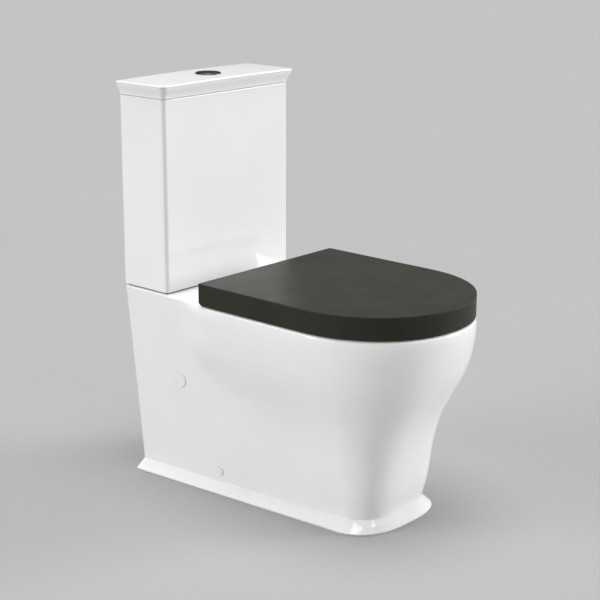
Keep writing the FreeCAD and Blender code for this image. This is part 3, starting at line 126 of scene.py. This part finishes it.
class Finish:
    """Material of one shader, whose constant sockets are set and whose varying ones are linked."""

    def __init__(self, name, **constants):
        self.material = bpy.data.materials.new(name)
        self.material.use_nodes = True
        tree = self.material.node_tree
        self.shader = tree.nodes["Principled BSDF"]
        for socket, value in constants.items():
            self.shader.inputs[socket.replace("_", " ")].default_value = value
        self.graph = Signal(tree)
        self.place = self.graph.node("TexCoord", output="Object")

    def noise(self, scale, detail=2.0, place=None, roughness=0.5):
        """Noise from 0 to 1, with scale counted per metre."""
        pattern = {"Scale": scale, "Detail": detail, "Roughness": roughness}
        return self.graph.node("TexNoise", {"Vector": place or self.place, **pattern})

    def stretched(self, upward):
        """Object place with its height scaled, for grain that runs one way."""
        return self.graph.node("Mapping", {"Vector": self.place, "Scale": (1.0, 1.0, upward)})

    def axes(self, vector=None):
        """The three numbers of a vector, by default of the object place."""
        split = self.graph.node("SeparateXYZ", {"Vector": vector or self.place})
        return [Signal(split.tree, output) for output in split.socket.node.outputs]

    def facing(self):
        """The three numbers of the direction that the surface faces."""
        return self.axes(self.graph.node("TexCoord", output="Normal"))

    def bump(self, height, depth):
        """Surface relief, depth in metres."""
        self.link(Normal=self.graph.node("Bump", {"Height": height, "Distance": depth}))

    def link(self, **signals):
        """Feed the shader's sockets that vary over the surface."""
        for socket, signal in signals.items():
            self.graph.tree.links.new(signal.socket, self.shader.inputs[socket.replace("_", " ")])

    def give(self, *names):
        """Put the finish on the named pieces."""
        for name in names:
            cad[name].material_slots[0].material = self.material


GLAZE_WHITE = (0.88, 0.885, 0.88)
GLAZE_POOLED = (0.855, 0.862, 0.858)
GLAZE_IOR = 1.52
GLAZE_CLOUDS = 6.0
GLAZE_RIPPLES = 38.0
GLAZE_GRAIN = 900.0
GLAZE_GRAIN_SHARE = 0.02
GLAZE_RELIEF = 0.00012
PINHOLE = (0.55, 0.53, 0.49)
PINHOLE_CELLS = 260.0
PINHOLE_CHOSEN = 0.965
PINHOLE_CORE = 0.05
PINHOLE_EDGE = 0.09
PINHOLE_SHARE = 0.3
BARE_CLAY = (0.66, 0.62, 0.55)
BARE_CLAY_DARK = (0.58, 0.54, 0.47)
CLAY_ROUGHNESS = 0.72
CLAY_GRAIN = 700.0
CLAY_GRAIN_SHARE = 2.0


def china(name, bare):
    """White glaze with faint clouding, pinholes and a soft ripple. Bare tells where clay shows."""
    glaze = Finish(name, IOR=GLAZE_IOR)
    cloud = glaze.noise(GLAZE_CLOUDS, detail=3.0)
    cells = {"Vector": glaze.place, "Scale": PINHOLE_CELLS}
    from_point = glaze.graph.node("TexVoronoi", cells)
    cell_colour = glaze.graph.node("TexVoronoi", cells, output="Color")
    chosen = glaze.axes(cell_colour)[0] > PINHOLE_CHOSEN
    pinhole = (1.0 - from_point.step(PINHOLE_CORE, PINHOLE_EDGE)) * chosen
    pooled = cloud.step(low=0.35, high=0.75).tint(GLAZE_WHITE, GLAZE_POOLED)
    rough = cloud.between(0.05, 0.09)
    ripple = glaze.noise(GLAZE_RIPPLES, detail=1.0)
    ripple = ripple + glaze.noise(GLAZE_GRAIN, detail=0.0) * GLAZE_GRAIN_SHARE - pinhole * PINHOLE_SHARE
    clay = bare(glaze)
    grain = glaze.noise(CLAY_GRAIN, detail=4.0, roughness=0.7)
    glaze.link(Base_Color=clay.tint(pinhole.tint(pooled, PINHOLE), grain.tint(BARE_CLAY, BARE_CLAY_DARK)),
               Roughness=rough + clay * (CLAY_ROUGHNESS - rough))
    glaze.bump(ripple + clay * (grain * CLAY_GRAIN_SHARE - ripple), GLAZE_RELIEF)
    return glaze


pan_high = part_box("pan")[1]
BOWL_CENTRE = -0.123
SUMP_CENTRE = -0.052
BOWL_HALF = 0.142
BOWL_HALF_LENGTH = 0.176
BOWL_DEPTH = 0.290
BOWL_MARGIN = 0.009
BOWL_TAPER = 0.7
BOWL_TAPER_CURVE = 1.6
BOWL_LEAN_CURVE = 1.5
HOLLOW_CENTRE = 0.05
INWARDS = 0.004
DECK_UNDER = pan_high.z - 0.020
SKIN = 0.0008
SQUARE_ON = 0.7


def pan_bare(glaze):
    """Clay shows under the foot, on the wall edge, under the deck and on walls that face inwards."""
    x, y, z = glaze.axes()
    facing = glaze.facing()
    inwards = (x * facing[0] + (y - HOLLOW_CENTRE) * facing[1]) < -INWARDS
    depth = ((pan_high.z - z) / BOWL_DEPTH).either(0.0)
    size = 1.0 - depth ** BOWL_TAPER_CURVE * BOWL_TAPER
    centre = (depth ** BOWL_LEAN_CURVE).between(BOWL_CENTRE, SUMP_CENTRE)
    across = x / (size * BOWL_HALF + BOWL_MARGIN)
    along = (y - centre) / (size * BOWL_HALF_LENGTH + BOWL_MARGIN)
    outside_bowl = (across * across + along * along) > 1.0
    deck_lower = (z > DECK_UNDER - SKIN) * (z < DECK_UNDER + SKIN) * (facing[2] < -SQUARE_ON)
    foot = (z < SKIN) * (facing[2] < -SQUARE_ON)
    wall_edge = (y > pan_high.y - SKIN) * (facing[1] > SQUARE_ON)
    return (inwards * outside_bowl).either(deck_lower).either(foot).either(wall_edge)


# The skin of the skirt runs straight down from the flank to the edge of the plinth. A merged copy of
# the solid, with that skin drawn true, stands for it.
FOOT_HALF = 0.133
DECK_HALF = 0.1715
FLANK_CURVE = 1.1
FLANK_TAPER = 0.0631
WAIST_REACH = 0.265
WAIST_RUN = 0.210
WAIST_ROUND = 0.012
WAIST_DEPTH = 0.0049
WAIST_CURVE = 0.55
SKIN_TOP = 0.099
SKIN_TOP_FADE = 0.015
SKIN_FRONT = 0.470
SKIN_FRONT_FADE = 0.060
SKIN_BACK = 0.140
EDGE_HEIGHT = 0.0195
EDGE_LOW = 0.018
EDGE_HIGH = 0.0245
SKIN_REACH = 0.0075
RECESS_REACH = 0.0025
OUTWARD = 0.85
CHAMFER_TILT = 0.4
MERGE_GAP = 0.000001
SLOPE_STEP = 0.001
screw_low, screw_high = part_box("floor_screw_caps")


def skirt_half(reach, height):
    """Half width of the skirt near the foot, with a straight flank that draws in towards the front."""
    share = height / pan_high.z
    flank = FOOT_HALF + (DECK_HALF - FOOT_HALF) * share ** FLANK_CURVE
    flank -= FLANK_TAPER * (1.0 - share) * reach
    ahead = reach - WAIST_REACH
    ahead = min((ahead + math.hypot(ahead, WAIST_ROUND)) / 2 / WAIST_RUN, 1.0)
    return flank - WAIST_DEPTH * (height / SKIN_TOP) ** WAIST_CURVE * math.sin(math.pi / 2 * ahead)


def skirt_facing(side, reach, height):
    """Direction that the drawn skin faces on one side, left or right."""
    along = skirt_half(reach + SLOPE_STEP, height) - skirt_half(reach - SLOPE_STEP, height)
    upward = skirt_half(reach, height + SLOPE_STEP) - skirt_half(reach, height - SLOPE_STEP)
    return Vector((side * 2 * SLOPE_STEP, along, -upward)).normalized()


def skin_hold(reach, height):
    """Share by which the skin follows the drawn line, which fades out at the front and above."""
    ahead = min((SKIN_FRONT - reach) / SKIN_FRONT_FADE, 1.0)
    above = min((SKIN_TOP - height) / SKIN_TOP_FADE, 1.0)
    return max(min(ahead, above), 0.0)


def on_skin(point):
    """Whether a point lies on the skin that is drawn, and not in the recess of a screw cap."""
    reach = pan_high.y - point.y
    if not (EDGE_LOW < point.z < SKIN_TOP and SKIN_BACK < reach < SKIN_FRONT):
        return False
    by_screw = screw_low.y < point.y < screw_high.y and screw_low.z < point.z < screw_high.z
    off = abs(point.x) - skirt_half(reach, point.z)
    return abs(off) <= (RECESS_REACH if by_screw else SKIN_REACH)


def merged_copy(node, name):
    """Copy of a solid with its doubled points merged, and the direction that each corner faces."""
    mesh = cad[node].data.copy()
    piece = bpy.data.objects.new(name, mesh)
    bpy.context.collection.objects.link(piece)
    true_normal = mesh.attributes.new("true_normal", "FLOAT_VECTOR", "CORNER")
    for corner, normal in zip(true_normal.data, mesh.corner_normals):
        corner.vector = normal.vector
    bpy.context.view_layer.objects.active = piece
    piece.select_set(True)
    bpy.ops.object.mode_set(mode="EDIT")
    bpy.ops.mesh.select_all(action="SELECT")
    bpy.ops.mesh.remove_doubles(threshold=MERGE_GAP)
    bpy.ops.object.mode_set(mode="OBJECT")
    piece.select_set(False)
    normals = [corner.vector.copy() for corner in mesh.attributes["true_normal"].data]
    mesh.attributes.remove(mesh.attributes["true_normal"])
    return piece, normals


pan, pan_normals = merged_copy("pan", "pan_body")
pan_skin = pan.data
edge_points = set()
for face in pan_skin.polygons:
    if face.center.z < EDGE_HIGH and face.normal.z > CHAMFER_TILT:
        edge_points.update(face.vertices)
drawn = {}
for face in pan_skin.polygons:
    side = math.copysign(1.0, face.center.x)
    if face.normal.x * side < OUTWARD:
        continue
    for corner in face.loop_indices:
        index = pan_skin.loops[corner].vertex_index
        point = pan_skin.vertices[index].co
        if not on_skin(point):
            continue
        reach = pan_high.y - point.y
        hold = skin_hold(reach, point.z)
        height = point.z
        if index in edge_points:
            height += (EDGE_HEIGHT - height) * hold
        half = abs(point.x) + (skirt_half(reach, height) - abs(point.x)) * hold
        drawn[index] = Vector((side * half, point.y, height))
        straight = skirt_facing(side, reach, height)
        pan_normals[corner] = pan_normals[corner].lerp(straight, hold).normalized()
for index, place in drawn.items():
    pan_skin.vertices[index].co = place
pan_skin.normals_split_custom_set(pan_normals)
pan_china = china("pan_china", pan_bare)
pan_china.give("pan")
pan.material_slots[0].material = pan_china.material
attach(pan, "suite")
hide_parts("pan")

# Floor brackets and their screws
# Two nylon blocks are screwed to the floor inside the skirt, and the pan is pulled onto them
# by a stainless screw through each flank. They are natural white mouldings with a waxy surface.
NYLON_PALE = (0.70, 0.69, 0.64)
NYLON_CREAM = (0.62, 0.60, 0.53)
nylon = Finish("nylon", IOR=1.53, Subsurface_Weight=0.08, Subsurface_Scale=0.004)
wax = nylon.noise(scale=35.0, detail=3.0)
nylon.link(Base_Color=wax.step(low=0.3, high=0.7).tint(NYLON_PALE, NYLON_CREAM),
           Roughness=wax.between(0.36, 0.54))
nylon.bump(nylon.noise(scale=420.0), depth=0.00006)
nylon.give("floor_bracket_left", "floor_bracket_right", "coupling_wing_nuts", "fill_valve_nut",
           "hinge_wing_nuts", "lid_bush", "seat_bush")

STEEL_PALE = (0.62, 0.62, 0.61)
STEEL_DARK = (0.50, 0.50, 0.50)
steel = Finish("stainless_steel", Metallic=1.0)
turned = steel.noise(scale=260.0, detail=3.0, place=steel.stretched(upward=9.0))
steel.link(Base_Color=turned.tint(STEEL_DARK, STEEL_PALE), Roughness=turned.between(0.20, 0.36))
steel.bump(turned, depth=0.00002)
steel.give("floor_bracket_screws", "lever_pins", "full_button_spring", "half_button_spring",
           "float_link_rod", "float_lever_pin", "hinge_pin_left", "hinge_pin_right", "hinge_studs")

# Cap covers on the flanks
# Round white mouldings snap into the side openings and hide the screws and the waste fixing.
# They are as white as the china round them and a little less glossy.
CAP_WHITE = (0.87, 0.872, 0.868)
CAP_COOL = (0.845, 0.85, 0.848)
cap = Finish("white_plastic", IOR=1.49)
flow = cap.noise(scale=55.0)
cap.link(Base_Color=flow.step(low=0.35, high=0.7).tint(CAP_WHITE, CAP_COOL),
         Roughness=flow.between(0.16, 0.28))
cap.bump(cap.noise(scale=300.0, detail=1.0), depth=0.00003)
cap.give("side_access_caps", "floor_screw_caps")

# Cistern tank
# A slip-cast china box with an open top and a recessed floor, bolted to the pan's deck.
# It is glazed inside and out. Only the rim under the lid, the foot and the back are bare.
tank_low, tank_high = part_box("cistern_tank")


def tank_bare(glaze):
    """Clay shows on the top rim that carries the lid, on the foot and on the back."""
    _, y, z = glaze.axes()
    facing = glaze.facing()
    rim = (z > tank_high.z - SKIN) * (facing[2] > SQUARE_ON)
    foot = (z < tank_low.z + SKIN) * (facing[2] < -SQUARE_ON)
    wall_side = (y > tank_high.y - SKIN) * (facing[1] > SQUARE_ON)
    return rim.either(foot).either(wall_side)


china("tank_china", tank_bare).give("cistern_tank")

# Rubber gasket and washers
# Black moulded rubber seals the tank on the deck, the valves in the tank floor and the hinge studs.
# It is matt, with a fine grain and a faint grey bloom.
RUBBER_BLACK = (0.020, 0.020, 0.020)
RUBBER_BLOOM = (0.055, 0.055, 0.054)
rubber = Finish("rubber", IOR=1.5)
bloom = rubber.noise(scale=28.0, detail=4.0)
rubber.link(Base_Color=bloom.step(low=0.45, high=0.8).tint(RUBBER_BLACK, RUBBER_BLOOM),
            Roughness=bloom.between(0.66, 0.86))
rubber.bump(rubber.noise(scale=1100.0), depth=0.00006)
rubber.give("tank_gasket", "coupling_seal", "coupling_rubber_washers", "flush_valve_washer",
            "spindle_seal", "fill_valve_washer", "hinge_washers", "lid_bumpers", "ring_bumpers")

# Coupling bolts and plate washers
# Turned brass bolts hold the tank to the deck through rubber washers, with brass plate washers below.
# The brass has fine turning marks and a dull tarnish.
BRASS_BRIGHT = (0.70, 0.50, 0.20)
BRASS_DULL = (0.46, 0.33, 0.15)
brass = Finish("brass", Metallic=1.0)
tarnish = brass.noise(scale=75.0, detail=4.0)
brass.link(Base_Color=tarnish.step(low=0.35, high=0.75).tint(BRASS_BRIGHT, BRASS_DULL),
           Roughness=tarnish.between(0.20, 0.45))
brass.bump(brass.noise(scale=300.0, place=brass.stretched(upward=12.0)), depth=0.00002)
brass.give("coupling_bolts", "coupling_plate_washers")

# Flush valve and fill valve
# Injection moulded pieces in the tank: pale housings, rods and nuts, and dark levers and float.
# Each has a dull moulded skin with faint flow marks.
VALVE_PALE = (0.78, 0.80, 0.82)
VALVE_DEEP = (0.70, 0.73, 0.76)
VALVE_ROUGHNESS = 0.36
FLOAT_PALE = (0.11, 0.12, 0.13)
FLOAT_DEEP = (0.075, 0.08, 0.09)
FLOAT_ROUGHNESS = 0.42
MARK_ROUGHNESS = 0.14


def moulded(name, pale, deep, roughness):
    """Dull moulded plastic with flow marks and a fine spark-eroded texture."""
    skin = Finish(name, IOR=1.49)
    marks = skin.noise(scale=42.0, detail=3.0, place=skin.stretched(upward=0.35))
    skin.link(Base_Color=marks.step(low=0.3, high=0.75).tint(pale, deep),
              Roughness=marks * MARK_ROUGHNESS + roughness)
    skin.bump(skin.noise(scale=1400.0), depth=0.00004)
    return skin


moulded("valve_plastic", VALVE_PALE, VALVE_DEEP, VALVE_ROUGHNESS).give(
    "flush_valve_body", "flush_valve_nut", "flush_spindle", "button_lock_nut", "full_push_rod",
    "half_push_rod", "fill_valve_body", "float_lever")
moulded("float_plastic", FLOAT_PALE, FLOAT_DEEP, FLOAT_ROUGHNESS).give(
    "half_flush_sleeve", "full_lift_lever", "half_lift_lever", "float_cup", "lid_damper", "seat_damper")

# Cistern lid
# A china slab that drops into the tank by a rib, with a flared edge, a thin lip and a shallow dome.
# It is glazed all over but for the ledge that rests on the tank and the edge at the wall.
lid_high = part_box("cistern_lid")[1]


def lid_bare(glaze):
    """Clay shows on the ledge that rests on the tank and on the edge at the wall."""
    _, y, z = glaze.axes()
    facing = glaze.facing()
    ledge = (z > tank_high.z - SKIN) * (z < tank_high.z + SKIN) * (facing[2] < -SQUARE_ON)
    wall_side = (y > lid_high.y - SKIN) * (facing[1] > SQUARE_ON)
    return ledge.either(wall_side)


# The edge rises from the tank in one slow double curve to a thin lip, and a fine gap parts it from the
# tank. A merged copy of the solid, with its band, cove and nose drawn to that curve, stands for it.
TANK_CORNER = 0.008
LID_FLARE = 0.010
LID_ROUND = 0.0045
LIP_ROUND = 0.002
LID_DOME = 0.002
BAND_OUT = 0.0008
BAND_GAP = 0.0009
CURVE_LOW = 0.0015
CURVE_HIGH = 0.0035
ON_EDGE = 0.0001
tank_half = tank_high.x
tank_depth = tank_high.y - tank_low.y
lid_seat = tank_high.z
dome_radius = (lid_high.x ** 2 + LID_DOME ** 2) / (2 * LID_DOME)


def dome_height(x, reach):
    """Height of the lid's shallow dome over a place."""
    return lid_high.z - (x * x + (reach - tank_depth / 2) ** 2) / (2 * dome_radius)


def edge_place(x, reach):
    """How far a place lies outside the tank's outline, and its turn about the corner, None on a side."""
    side = abs(x) - (tank_half - TANK_CORNER)
    ahead = reach - (tank_depth - TANK_CORNER)
    total = 2 * (side + ahead) + 2 * TANK_CORNER
    rest = total * total - 4 * (side * side + ahead * ahead - TANK_CORNER ** 2)
    out = total - math.sqrt(max(rest, 0.0))
    if side > out / 2 and ahead > out / 2:
        return out, math.atan2(ahead - out / 2, side - out / 2)
    return max(side, ahead) - TANK_CORNER, None


def edge_curve(height):
    """How far the lid's edge stands outside the tank at a height, and its slope there."""
    low = lid_seat + CURVE_LOW
    high = lid_high.z - CURVE_HIGH
    share = min(max((height - low) / (high - low), 0.0), 1.0)
    rise = LID_FLARE - BAND_OUT
    slope = rise * 6 * share * (1 - share) / (high - low)
    return BAND_OUT + rise * share * share * (3 - 2 * share), slope


def edge_section(out, height, top):
    """Drawn place and facing of a point of the edge, each outwards and upwards, or None off the edge."""
    if height > top - LID_ROUND and out > LID_FLARE - LID_ROUND - ON_EDGE:
        lean = math.atan2(height - (top - LID_ROUND), max(out - (LID_FLARE - LID_ROUND), 0.0))
        level, upward = math.cos(lean), math.sin(lean)
        lip = (LID_FLARE - LIP_ROUND + LIP_ROUND * level, top - LIP_ROUND + LIP_ROUND * upward)
        return lip, (level, upward)
    if out > -ON_EDGE and lid_seat - ON_EDGE < height <= top - LID_ROUND:
        share = (height - lid_seat) / (top - LID_ROUND - lid_seat)
        low = lid_seat + BAND_GAP
        drawn_height = low + share * (top - LIP_ROUND - low)
        drawn_out, slope = edge_curve(drawn_height)
        steep = math.hypot(1.0, slope)
        return (drawn_out, drawn_height), (1.0 / steep, -slope / steep)
    return None


def edge_plan(x, reach, out, turn):
    """Place seen from above, this far outside the tank, and the direction that the outline faces."""
    side = math.copysign(1.0, x)
    if turn is not None:
        right, ahead = math.cos(turn), math.sin(turn)
        centre = out / 2 - TANK_CORNER
        radius = out / 2 + TANK_CORNER
        place = (side * (tank_half + centre + radius * right), tank_depth + centre + radius * ahead)
        return place, (side * right, -ahead)
    if abs(x) - tank_half > reach - tank_depth:
        return (side * (tank_half + out), reach), (side, 0.0)
    return (x, tank_depth + out), (0.0, -1.0)


lid_piece, lid_normals = merged_copy("cistern_lid", "cistern_lid_slab")
lid_mesh = lid_piece.data
shaped = {}
for point in lid_mesh.vertices:
    x, y, z = point.co
    reach = tank_high.y - y
    out, turn = edge_place(x, reach)
    section = edge_section(out, z, dome_height(x, reach))
    if section is None:
        continue
    (drawn_out, drawn_height), (level, upward) = section
    (drawn_x, drawn_reach), (face_x, face_y) = edge_plan(x, reach, drawn_out, turn)
    place = Vector((drawn_x, tank_high.y - drawn_reach, drawn_height))
    shaped[point.index] = (place, Vector((face_x * level, face_y * level, upward)))
for corner in lid_mesh.loops:
    if corner.vertex_index in shaped:
        facing = shaped[corner.vertex_index][1]
        if lid_normals[corner.index].dot(facing) > SQUARE_ON:
            lid_normals[corner.index] = facing
for index, (place, facing) in shaped.items():
    lid_mesh.vertices[index].co = place
lid_mesh.normals_split_custom_set(lid_normals)
lid_china = china("lid_china", lid_bare)
lid_china.give("cistern_lid")
lid_piece.material_slots[0].material = lid_china.material
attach(lid_piece, "cistern_cover")
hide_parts("cistern_lid")

# Push buttons
# A round bezel and two half moon buttons, plated in dark gunmetal and brushed in rings.
# They sit in a hole through the lid and press the rods of the flush valve.
button_low, button_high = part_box("button_bezel")
GUNMETAL = (0.094, 0.094, 0.086)
GUNMETAL_DEEP = (0.056, 0.056, 0.050)
GUNMETAL_EDGE = (0.35, 0.35, 0.33)
PLATE_ROUGHNESS = 0.2
BRUSH_ROUGHNESS = 0.12
SMUDGE_ROUGHNESS = 0.1
plate = Finish("gunmetal_plate", Metallic=1.0, Specular_Tint=(*GUNMETAL_EDGE, 1.0))
middle = (button_low + button_high) / 2
to_middle = (-middle.x, -middle.y, 0.0)
from_middle = plate.graph.node("Mapping", {"Vector": plate.place, "Location": to_middle})
across, along, _ = plate.axes(from_middle)
radius = (across * across + along * along) ** 0.5
brushed = plate.noise(scale=5200.0, detail=3.0, place=plate.graph.node("CombineXYZ", {"X": radius}))
smudge = plate.noise(scale=60.0, detail=3.0)
plate.link(Base_Color=brushed.tint(GUNMETAL_DEEP, GUNMETAL),
           Roughness=brushed * BRUSH_ROUGHNESS + smudge * SMUDGE_ROUGHNESS + PLATE_ROUGHNESS)
plate.bump(brushed, depth=0.00001)
plate.give("button_bezel", "full_flush_button", "half_flush_button")

# Hinge posts
# Two cast posts bolted through the deck carry the hinge pins. They are polished and chrome plated.
# Fingerprints dull the plate a little.
CHROME = (0.74, 0.745, 0.75)
CHROME_SHADE = (0.66, 0.67, 0.68)
chrome = Finish("chrome_plate", Metallic=1.0)
print_marks = chrome.noise(scale=90.0, detail=4.0)
chrome.link(Base_Color=print_marks.tint(CHROME_SHADE, CHROME),
            Roughness=print_marks.step(low=0.5, high=0.9).between(0.05, 0.23))
chrome.bump(chrome.noise(scale=120.0, detail=1.0), depth=0.00001)
chrome.give("hinge_post_left", "hinge_post_right")

# Seat ring and seat lid
# Compression moulded in a dense dark olive grey plastic, satin outside with a very fine grain.
# The lid wraps over the ring, and both turn on one pair of hinge pins.
SEAT_GREY = (0.029, 0.029, 0.0215)
SEAT_GREY_DEEP = (0.0245, 0.0245, 0.0178)
SEAT_ROUGHNESS = 0.36
MOTTLE_ROUGHNESS = 0.08
GRAIN_ROUGHNESS = 0.06
satin = Finish("seat_plastic", IOR=1.2)
mottle = satin.noise(scale=16.0, detail=4.0)
grain = satin.noise(scale=1500.0)
satin.link(Base_Color=mottle.step(low=0.3, high=0.75).tint(SEAT_GREY, SEAT_GREY_DEEP),
           Roughness=mottle * MOTTLE_ROUGHNESS + grain * GRAIN_ROUGHNESS + SEAT_ROUGHNESS)
satin.bump(grain, depth=0.00003)
satin.give("seat_ring", "seat_lid")

# Floor, light and camera
# A plain pale floor under four wide soft suns: a low one from the right, two from the left and behind,
# and one overhead. The pan's front left corner lies between them and stays darker. The camera stands
# where the photograph was taken.
FLOOR_SIZE = 60.0
FLOOR_GAP = 0.0003
FLOOR_PALE = (0.40, 0.40, 0.40)
FLOOR_SHADE = (0.38, 0.38, 0.38)
bpy.ops.mesh.primitive_plane_add(size=FLOOR_SIZE, location=(0.0, 0.0, -FLOOR_GAP))
floor = bpy.context.object
floor.name = "floor"
screed = Finish("floor_screed", IOR=1.4, Roughness=0.75)
screed.link(Base_Color=screed.noise(scale=1.5, detail=4.0).tint(FLOOR_PALE, FLOOR_SHADE))
floor.data.materials.append(screed.material)

WORLD_WHITE = (1.0, 1.0, 1.0)
WORLD_STRENGTH = 0.44
world = bpy.data.worlds.new("studio")
bpy.context.scene.world = world
world.use_nodes = True
sky = world.node_tree.nodes["Background"]
sky.inputs["Color"].default_value = (*WORLD_WHITE, 1.0)
sky.inputs["Strength"].default_value = WORLD_STRENGTH


def outlook(azimuth, elevation):
    """Direction of a place seen from the suite, turned from its front towards +X and then raised."""
    return Vector((math.sin(azimuth) * math.cos(elevation),
                   -math.cos(azimuth) * math.cos(elevation),
                   math.sin(elevation)))


SUN_DISTANCE = 4.0
for name, azimuth, elevation, strength, softness in (
    ("right_sun", 52.0, 12.0, 2.35, 28.0),
    ("left_sun", -110.0, 10.0, 0.65, 28.0),
    ("left_back_sun", -130.0, 25.0, 0.93, 28.0),
    ("overhead_sun", 0.0, 89.0, 1.95, 40.0),
):
    towards = outlook(math.radians(azimuth), math.radians(elevation))
    bpy.ops.object.light_add(type="SUN", location=towards * SUN_DISTANCE)
    lamp = bpy.context.object
    lamp.name = name
    lamp.data.energy = strength
    lamp.data.angle = math.radians(softness)
    lamp.rotation_mode = "QUATERNION"
    lamp.rotation_quaternion = (-towards).to_track_quat("-Z", "Y")

CAMERA_PLACE = Vector((-2.1613, -1.8797, 1.1959))
CAMERA_AZIMUTH = math.radians(-48.49)
CAMERA_ELEVATION = math.radians(15.68)
CAMERA_ROLL = math.radians(0.15)
CAMERA_LENS = 92.98
CAMERA_SENSOR = 36.0
bpy.ops.object.camera_add(location=CAMERA_PLACE)
camera = bpy.context.object
camera.data.lens = CAMERA_LENS
camera.data.sensor_width = CAMERA_SENSOR
back = outlook(CAMERA_AZIMUTH, CAMERA_ELEVATION)
level = Vector((math.cos(CAMERA_AZIMUTH), math.sin(CAMERA_AZIMUTH), 0.0))
right = Matrix.Rotation(CAMERA_ROLL, 3, back) @ level
axes = Matrix((right, back.cross(right), back)).transposed()
camera.rotation_mode = "QUATERNION"
camera.rotation_quaternion = axes.to_quaternion()
bpy.context.scene.camera = camera
bpy.context.scene.view_settings.view_transform = "Standard"
